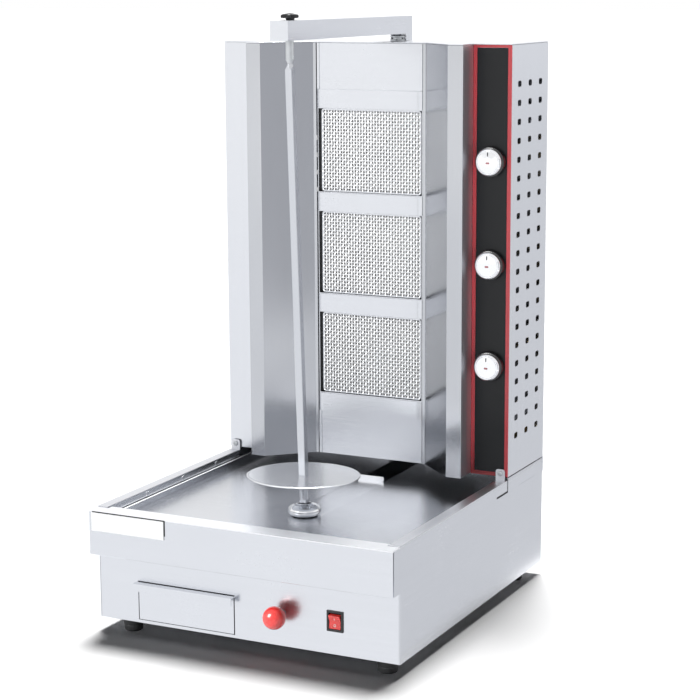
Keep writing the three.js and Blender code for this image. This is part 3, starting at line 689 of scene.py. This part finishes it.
def make_disc():
    """Round plate with a rolled rim, loose enough on the spit to sit off square."""
    lean = Vector(joints["spit_spin"]["axis"]).normalized()
    radius = size("spit_disc").x / 2
    upright = Matrix.Rotation(math.radians(DISC_TILT), 3, "X") @ lean
    plate = lathe([
        (8.6 * MM, -1.2 * MM), (radius - 4 * MM, -1.2 * MM), (radius - 1.4 * MM, -1.35 * MM),
        (radius - 0.2 * MM, -0.7 * MM), (radius - 0.2 * MM, 0.7 * MM), (radius - 1.4 * MM, 1.35 * MM),
        (radius - 4 * MM, 1.1 * MM), (8.6 * MM, 1.1 * MM),
    ], segments=128, fillet=0.7 * MM)
    shape = moved(plate, facing(upright, middle("spit_disc")))
    piece("spit_plate", shape, disc_steel, "spit", ["spit_disc"])


def hexagon(across, low, high, chamfer=0.8 * MM):
    """Hexagonal nut blank about Z with turned corners."""
    rim = across * 0.577                    # from the middle to a corner
    blank = lathe([(rim, low), (rim, high)], segments=6)
    cone = lathe([
        (rim - 1.6 * chamfer, low - 0.01 * MM), (rim + 0.2 * MM, low + chamfer),
        (rim + 0.2 * MM, high - chamfer), (rim - 1.6 * chamfer, high + 0.01 * MM),
    ], segments=48)
    return carved(blank, cone, operation="INTERSECT")


def threaded(radius, low, high, pitch=1.25 * MM):
    """Rod about Z whose flank rises and falls like a screw thread."""
    profile = [(radius - 0.9 * MM, low)]
    turns = int((high - low - 1 * MM) / pitch)
    for i in range(turns):
        start = low + 0.5 * MM + i * pitch
        profile += [(radius - 0.55 * MM, start), (radius, start + pitch * 0.45), (radius, start + pitch * 0.55)]
    return lathe(profile + [(radius - 0.55 * MM, high - 0.5 * MM), (radius - 1.1 * MM, high)], segments=40)


def pan_screw(radius, height):
    """Cross-head screw about Z, seated at zero."""
    head = lathe([
        (radius * 0.5, 0), (radius, 0), (radius, height * 0.35), (radius * 0.86, height * 0.78),
        (radius * 0.5, height * 0.98), (0.2 * MM, height),
    ], segments=40, fillet=0.35 * MM)
    slot, depth = radius * 0.17, height * 0.55
    reach = radius * 0.62
    bars = [
        block((-reach, -slot, height - depth), (reach, slot, height + 1 * MM)),
        block((-slot, -reach, height - depth), (slot, reach, height + 1 * MM)),
    ]
    return carved(head, *bars)


def make_tab_screws():
    screw = pan_screw(4.4 * MM, 3.0 * MM)
    for side in ("left", "right"):
        node = f"tab_screw_{side}"
        centre = middle(node)
        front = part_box(node)[0].y + 3.2 * MM
        place = facing((0, -1, 0), (centre.x, front, centre.z))
        piece(f"corner_screw_{side}", moved(screw, place), zinc, "base", [node])


def make_pivot():
    """Post of the swing arm: washers, a flange and two nuts on a threaded rod."""
    low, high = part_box("arm_pivot")
    x, y = middle("arm_pivot").x, middle("arm_pivot").y
    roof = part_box("housing_top")[1].z
    bore, rim = 5 * MM, 12.4 * MM
    washer = lathe([(bore, 0), (rim, 0), (rim, 2.4 * MM), (bore, 2.4 * MM)], 64, fillet=0.5 * MM)
    spacer = lathe([
        (bore, 2.5 * MM), (8 * MM, 2.5 * MM), (8 * MM, 5.8 * MM), (bore, 5.8 * MM),
    ], 48, fillet=0.4 * MM)
    flange = lathe([
        (bore, 0), (rim, 0), (rim, 2 * MM), (9.4 * MM, 2.7 * MM), (bore, 2.7 * MM),
    ], 64, fillet=0.5 * MM)
    shapes = [
        moved(washer, Matrix.Translation((x, y, roof + 0.4 * MM))),
        moved(spacer, Matrix.Translation((x, y, roof + 0.4 * MM))),
        moved(flange, Matrix.Translation((x, y, roof + 6.3 * MM))),
        moved(threaded(bore, low.z, high.z), Matrix.Translation((x, y, 0))),
        moved(hexagon(16 * MM, 0, 6 * MM), Matrix.Translation((x, y, high.z - 6.8 * MM))),
        moved(hexagon(16 * MM, 0, 8 * MM), Matrix.Translation((x, y, low.z + 2 * MM))),
    ]
    piece("pivot_post", joined(*shapes), zinc, "base", ["arm_pivot"])


def make_centre_pin():
    """Pointed pin with a collar under the arm's top and a threaded end for the star knob."""
    low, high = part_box("centre_pin")
    x, y = middle("centre_pin").x, middle("centre_pin").y
    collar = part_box("swing_arm")[1].z - 8 * MM
    shaft = lathe([
        (3.6 * MM, low.z), (3.8 * MM, low.z + 0.8 * MM), (6.2 * MM, low.z + 5.6 * MM), (6.2 * MM, collar),
        (9.4 * MM, collar), (9.4 * MM, collar + 5.6 * MM), (4.3 * MM, collar + 5.6 * MM),
    ], segments=48, fillet=0.6 * MM)
    thread = threaded(4.5 * MM, collar + 5 * MM, high.z)
    shape = moved(joined(shaft, thread), Matrix.Translation((x, y, 0)))
    piece("pointed_pin", shape, zinc, "centre_pin", ["centre_pin"])


def make_star_knob():
    """Five-lobed clamping knob on a short boss."""
    foot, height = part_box("star_knob")[0].z, size("star_knob").z
    x, y = middle("star_knob").x, middle("star_knob").y
    lobes, mean, swell = 5, 11.3 * MM, 2.9 * MM
    profile = filleted([
        (mean - 2.4 * MM, 3.0 * MM), (mean, 3.4 * MM), (mean, height - 3.4 * MM),
        (mean - 1.6 * MM, height - 1.9 * MM), (mean - 5 * MM, height - 1.1 * MM), (0.5 * MM, height - 0.1 * MM),
    ], 1.5 * MM, steps=5)
    rings = [circle(r, z, 100, lobes, swell * min(1.0, r / mean) ** 2) for r, z in profile]
    boss = lathe([
        (4.7 * MM, 0.1 * MM), (6.4 * MM, 0.1 * MM), (7 * MM, 3.2 * MM), (4.7 * MM, 3.2 * MM),
    ], 48, fillet=0.4 * MM)
    shape = moved(joined(loft(rings), boss), Matrix.Translation((x, y, foot)))
    piece("star_grip", shape, black_plastic, "star_knob", ["star_knob"])


def make_gland():
    """Cable gland: hexagonal body, fluted dome nut and rubber seal."""
    centre, bore = middle("cable_gland"), 3.7 * MM
    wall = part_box("base_rear")[1].y - 4 * MM
    out = facing((0, 1, 0), (centre.x, wall, centre.z))
    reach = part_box("cable_gland")[1].y - wall
    nut = lathe([
        (bore, reach * 0.30), (8.6 * MM, reach * 0.30), (8.6 * MM, reach * 0.62), (7.2 * MM, reach * 0.9),
        (6.2 * MM, reach - 0.1 * MM), (3.9 * MM, reach - 0.1 * MM), (bore, reach * 0.8),
    ], segments=96, fillet=0.6 * MM, lobes=16, depth=0.2 * MM)
    body = carved(hexagon(20 * MM, 0.2 * MM, reach * 0.3), lathe([(bore, -5 * MM), (bore, 20 * MM)], 32))
    piece("gland_nut", moved(joined(nut, body), out), black_plastic, "base", ["cable_gland"])
    seal = lathe([
        (3.5 * MM, reach * 0.5), (5.6 * MM, reach * 0.5), (5.4 * MM, reach - 0.8 * MM),
        (3.5 * MM, reach - 1.4 * MM),
    ], 48)
    piece("gland_seal", moved(seal, out), rubber, "base")


def make_rocker_marks():
    """Plain on and off marks, a bar and a ring, on the two faces of the rocker."""
    tilt = Matrix.Translation(joints["rocker_tilt"]["pos_m"]) @ Matrix.Rotation(math.radians(10), 4, "X")
    low, high = -0.2 * MM, 0.12 * MM
    inner, outer = 1.3 * MM, 2.1 * MM
    bar = prism(rounded_rectangle(1.0 * MM, 4.6 * MM, 0.4 * MM), low, high)
    section = ((inner, low), (outer, low), (outer, high), (inner, high))
    ring = loft([circle(radius, height, 40) for radius, height in section], closed=True)
    for name, mark, up in (("on", bar, 1), ("off", ring, -1)):
        face = facing((0, -10.8, -3 * up), (0, -5.5 * MM, 5.4 * MM * up))
        piece(f"rocker_mark_{name}", moved(mark, tilt @ face), pale_ink, "rocker")


def make_cover():
    """Sliding plate over the slot, feathered at its edges, with a bright upturned lip at the back."""
    low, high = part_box("slot_cover")
    thick, feather = 0.36 * MM, 9.0 * MM
    end = high.y - 1.2 * MM
    rings = []
    for height, inset in ((-0.27 * MM, 0.0), (-0.24 * MM, 0.0), (thick, feather)):
        x, y = (low.x + inset, high.x - inset), (low.y + inset, end)
        corners = ((x[0], y[0]), (x[1], y[0]), (x[1], y[1]), (x[0], y[1]))
        rings.append([(*corner, low.z + height) for corner in corners])
    shaft = joints["drive_spin"]["pos_m"]
    bore = lathe([(8.5 * MM, -5 * MM), (8.5 * MM, 5 * MM)], 48)
    hole = moved(bore, Matrix.Translation((shaft[0], shaft[1], low.z)))
    piece("cover_plate", carved(loft(rings), hole), steel["x"], "carriage", ["slot_cover"])
    width, tall = high.x - low.x - 8 * MM, high.z - low.z
    lip = prism(rounded_rectangle(width, tall, 2.6 * MM), 0.0, 1.4 * MM)
    lip = moved(lip, facing((0, -1, 0), (middle("slot_cover").x, high.y, low.z + tall / 2)))
    piece("cover_lip", lip, bright, "carriage", ["slot_cover"], bevel=0.5 * MM)


def make_rivets():
    """Domed rivet heads along the inner face of each rim."""
    dome = lathe([
        (3.7 * MM, 0.0), (3.7 * MM, 0.35 * MM), (2.8 * MM, 1.0 * MM), (0.3 * MM, 1.35 * MM),
    ], 36, fillet=0.5 * MM)
    for side, sign in (("left", 1), ("right", -1)):
        low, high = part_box("base_side_" + side)
        wall = low.x + 18 * MM if sign > 0 else high.x - 18 * MM
        for place, along in (("front", 115), ("middle", 225), ("rear", 335)):
            spot = (wall, low.y + along * MM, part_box("drip_tray")[1].z - 4.5 * MM)
            head = moved(dome, facing((sign, 0, 0), spot))
            piece(f"rim_rivet_{side}_{place}", head, bright, "base")


def make_hems_and_slot_shade():
    """Hem on each side wall of the tray, made pale as a painted highlight, and a dark strip behind the slot in
    each base side as painted shade where light would show through.
    """
    low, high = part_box("drip_tray")
    outer, wide, z = 238.7 * MM, 3.2 * MM, high.z - 11.3 * MM
    for side, left in (("left", -outer), ("right", outer - wide)):
        hem = block((left, low.y + 36 * MM, z), (left + wide, high.y - 1 * MM, z + 0.9 * MM))
        # pale hem: painted highlight
        piece(f"tray_hem_{side}", hem, hem_steel, "tray", bevel=0.3 * MM)
        near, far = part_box("base_side_" + side)
        web = near.x + 1.2 * MM if side == "left" else far.x - 1.7 * MM
        strip = block(
            (web, near.y + 364 * MM, far.z - 41 * MM),
            (web + 0.5 * MM, near.y + 422 * MM, far.z - 34 * MM),
        )
        # dark strip: painted shade behind the slot
        piece(f"slot_backing_{side}", strip, rubber, "base")


def make_plate_edge():
    """Dark strip that shows above and beside the blank plate: a painted shadow line along its top and right
    edges.
    """
    low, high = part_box("blank_plate")
    edge = block(
        (low.x + 1 * MM, high.y + 0.02 * MM, low.z + 6 * MM),
        (high.x + 2.0 * MM, high.y + 0.24 * MM, high.z + 1.8 * MM),
    )
    # dark strip: painted shadow of the plate
    piece("plate_gasket", edge, rubber, "tray")


def make_apron_hem():
    """Rolled hem along the bottom edge of the tray's apron, in the darker polished steel so that it shows as a
    painted shade line under the apron.
    """
    low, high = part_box("drip_tray")
    hem = lathe([(0.9 * MM, low.x + 3 * MM), (0.9 * MM, high.x - 3 * MM)], segments=16)
    place = facing((1, 0, 0), (0, low.y + 1.0 * MM, low.z + 0.3 * MM))
    # dark steel here is painted shade under the apron
    piece("apron_hem", moved(hem, place), mirror, "tray")


def make_rear_fittings():
    """Screws that hold the back panels, and the hexagon of the gas inlet."""
    screw = pan_screw(4.2 * MM, 2.6 * MM)
    low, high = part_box("housing_rear")
    wall = high.y
    spots = {}
    for side, first in ((-1, 1), (1, 4)):
        for number, share in enumerate((0.03, 0.5, 0.97), first):
            spots[f"back_screw_{number}"] = (side * (high.x - 12 * MM), wall, low.z + share * (high.z - low.z))
    low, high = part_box("base_rear")
    for number, x in enumerate((low.x + 14 * MM, high.x - 14 * MM), 1):
        spots[f"base_screw_{number}"] = (x, high.y - 4 * MM, low.z + 16 * MM)
    for name, spot in spots.items():
        piece(name, moved(screw, facing((0, 1, 0), spot)), zinc, "base")
    low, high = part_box("gas_manifold")
    inlet = facing((0, 1, 0), (high.x - 13 * MM, wall, low.z + 12 * MM))
    nut = carved(hexagon(24 * MM, 0.4 * MM, 9 * MM), lathe([(8.02 * MM, -5 * MM), (8.02 * MM, 20 * MM)], 48))
    piece("inlet_nut", moved(nut, inlet), brass, "base")


def make_motor_details():
    """Lid screws on the gearbox and cooling rings around the motor."""
    low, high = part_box("gearmotor")
    x, lid = middle("gearmotor").x, high.z - 13 * MM
    screw = pan_screw(3.4 * MM, 2.2 * MM)
    for number, (side, along) in enumerate(((-1, 7), (1, 7), (-1, 77), (1, 77)), 1):
        spot = Matrix.Translation((x + side * 29 * MM, low.y + along * MM, lid))
        piece(f"gearbox_screw_{number}", moved(screw, spot), zinc, "carriage")
    profile, root, crest = [], 30.4 * MM, 31.6 * MM
    for i in range(9):
        start = (10 + 6 * i) * MM
        profile += [
            (root, start), (crest, start + 1 * MM), (crest, start + 2.4 * MM), (root, start + 3.4 * MM),
        ]
    rings = lathe([(29.5 * MM, 9 * MM), *profile, (29.5 * MM, 63 * MM)], 72)
    place = facing((0, 1, 0), (x, low.y + 84 * MM, low.z + 37.9 * MM))
    piece("motor_rings", moved(rings, place), iron, "carriage")


for number in (1, 2, 3):
    make_gauze(number)
    make_knob(number)
make_ball()
for place in ("front_left", "front_right", "rear_left", "rear_right"):
    make_foot("foot_" + place)
make_dome()
make_disc()
make_tab_screws()
make_pivot()
make_centre_pin()
make_star_knob()
make_gland()
make_rocker_marks()
make_cover()
make_rivets()
make_plate_edge()
make_hems_and_slot_shade()
make_apron_hem()
make_rear_fittings()
make_motor_details()


# ---- studio ----
def aim(thing, place, target):
    """Puts a light or card at place, facing target."""
    way = Vector(target) - Vector(place)
    thing.matrix_world = Matrix.Translation(place) @ way.to_track_quat("-Z", "Y").to_matrix().to_4x4()


def softbox(name, place, target, width, height, power):
    light = bpy.data.lights.new(name, "AREA")
    light.shape, light.size, light.size_y = "RECTANGLE", width, height
    light.energy = power
    box = linked(name, light)
    aim(box, place, target)
    return box


def flat_sheet(name, width, height, material):
    """Rectangle about the origin that faces up."""
    mesh = bpy.data.meshes.new(name)
    x, y = width / 2, height / 2
    mesh.from_pydata([(-x, -y, 0), (x, -y, 0), (x, y, 0), (-x, y, 0)], [], [(0, 1, 2, 3)])
    mesh.materials.append(material)
    return linked(name, mesh)


def card(name, place, target, width, height, tone):
    """Large plain card that only reflections see, as a photographer's board beside the set."""
    made = bpy.data.materials.new(name)
    made.use_nodes = True
    tree = made.node_tree
    tree.nodes.clear()
    glow = tree.nodes.new("ShaderNodeEmission")
    glow.inputs["Color"].default_value = (*tone, 1.0)
    output = tree.nodes.new("ShaderNodeOutputMaterial")
    tree.links.new(glow.outputs[0], output.inputs["Surface"])
    board = flat_sheet(name, width, height, made)
    aim(board, place, target)
    board.visible_camera = board.visible_diffuse = board.visible_shadow = False


def make_floor():
    made = Shader("studio_floor", metallic=0.0, specular_ior_level=0.1)
    grain = made.noise(3.0, detail=3.0)
    made.colour(made.blend(grain, (0.86, 0.86, 0.86, 1.0), (0.88, 0.88, 0.88, 1.0)))
    made.rough(made.spread(grain, 0.8, 0.9))
    floor = flat_sheet("studio_floor", 120.0, 120.0, made.material)


SKY_LIGHT = 0.012                 # how bright the studio walls are for matt surfaces
FRONT_LIT = (                     # power in watts of each fill light, and how the names of what it lights start
    ("matt", 110, ("rocker", "blank_plate", "foot_", "knob_index", "knob_mark", "knob_grip")),
    ("ball", 240, "ball_"),
    ("burner", 85, ("gauze_mesh", "burner_tiles", "tile_joint")),
    ("front", 10, ""),            # everything that is left. One fill for each piece: with two fills on one piece, renders vary from run to run
)


def make_studio():
    scene = bpy.context.scene
    scene.view_settings.view_transform = "Standard"
    scene.view_settings.look = "None"
    world = bpy.data.worlds.new("studio")
    scene.world = world
    world.use_nodes = True
    tree = world.node_tree
    sky = tree.nodes["Background"]
    sky.inputs["Color"].default_value = (1.0, 1.0, 1.0, 1.0)
    path = tree.nodes.new("ShaderNodeLightPath")
    level = tree.nodes.new("ShaderNodeMapRange")
    level.inputs["To Min"].default_value, level.inputs["To Max"].default_value = 1.0, SKY_LIGHT
    tree.links.new(path.outputs["Diffuse Depth"], level.inputs["Value"])
    tree.links.new(level.outputs["Result"], sky.inputs["Strength"])
    make_floor()
    lamp = bpy.data.lights.new("overhead", "SUN")
    lamp.energy, lamp.angle = 5.0, math.radians(22)
    aim(linked("overhead", lamp), (-0.35, 1.3, 4.0), (0, 0, 0))
    unlit = [thing for thing in bpy.data.objects if thing.type == "MESH" and thing.name != "studio_floor"]
    for name, power, starts in FRONT_LIT:
        fill = softbox(name + "_fill", (-1.8, -3.2, 2.2), (0, 0, 0.4), 2.0, 2.0, power)
        lit = bpy.data.collections.new(name + "_lit")
        for thing in [thing for thing in unlit if thing.name.startswith(starts)]:
            lit.objects.link(thing)
            unlit.remove(thing)
        fill.light_linking.receiver_collection = lit
    card("front_board", (0, -2.79, 0.004), (0, -2.79, 1.0), 8.0, 5.0, (1.15, 1.16, 1.18))
    card("side_board", (2.33, 2.6, 0.006), (2.33, 2.6, 1.0), 4.08, 6.8, (0.80, 0.81, 0.84))
    card("back_board", (1.9, 3.2, 0.33), (0.2, 0.0, 0.33), 3.4, 0.62, (0.82, 0.83, 0.86))
    card("high_board", (1.9, 3.2, 0.99), (0.2, 0.0, 0.99), 3.4, 0.7, (0.95, 0.96, 0.99))
    card("right_board", (2.1, -1.1, 0.5), (-0.1, 0.1, 0.5), 2.2, 2.0, (0.66, 0.67, 0.70))
    card("band_board", (1.09, -0.25, 0.009), (1.09, -0.25, 1.0), 0.18, 0.8, (1.50, 1.52, 1.56))
    card("left_board", (-2.2, 0.9, 0.5), (0.1, 0.1, 0.5), 2.2, 2.0, (0.56, 0.57, 0.60))


CAMERA_PLACE = (1.38996, -2.71857, 0.99958)
CAMERA_ANGLES = (26.39, -10.76, -0.277)     # yaw, pitch and roll in degrees
FOCAL_LENGTH = 99.75                        # in millimetres, on a sensor 36 wide


def make_camera():
    data = bpy.data.cameras.new("camera")
    data.sensor_width, data.lens = 36.0, FOCAL_LENGTH
    data.clip_start, data.clip_end = 0.05, 200.0
    yaw, pitch, roll = (math.radians(angle) for angle in CAMERA_ANGLES)
    level = Matrix.Rotation(yaw, 4, "Z") @ Matrix.Rotation(math.pi / 2 + pitch, 4, "X")
    camera = linked("camera", data)
    camera.matrix_world = Matrix.Translation(CAMERA_PLACE) @ level @ Matrix.Rotation(roll, 4, "Z")
    bpy.context.scene.camera = camera


make_studio()
make_camera()

bpy.context.view_layer.update()
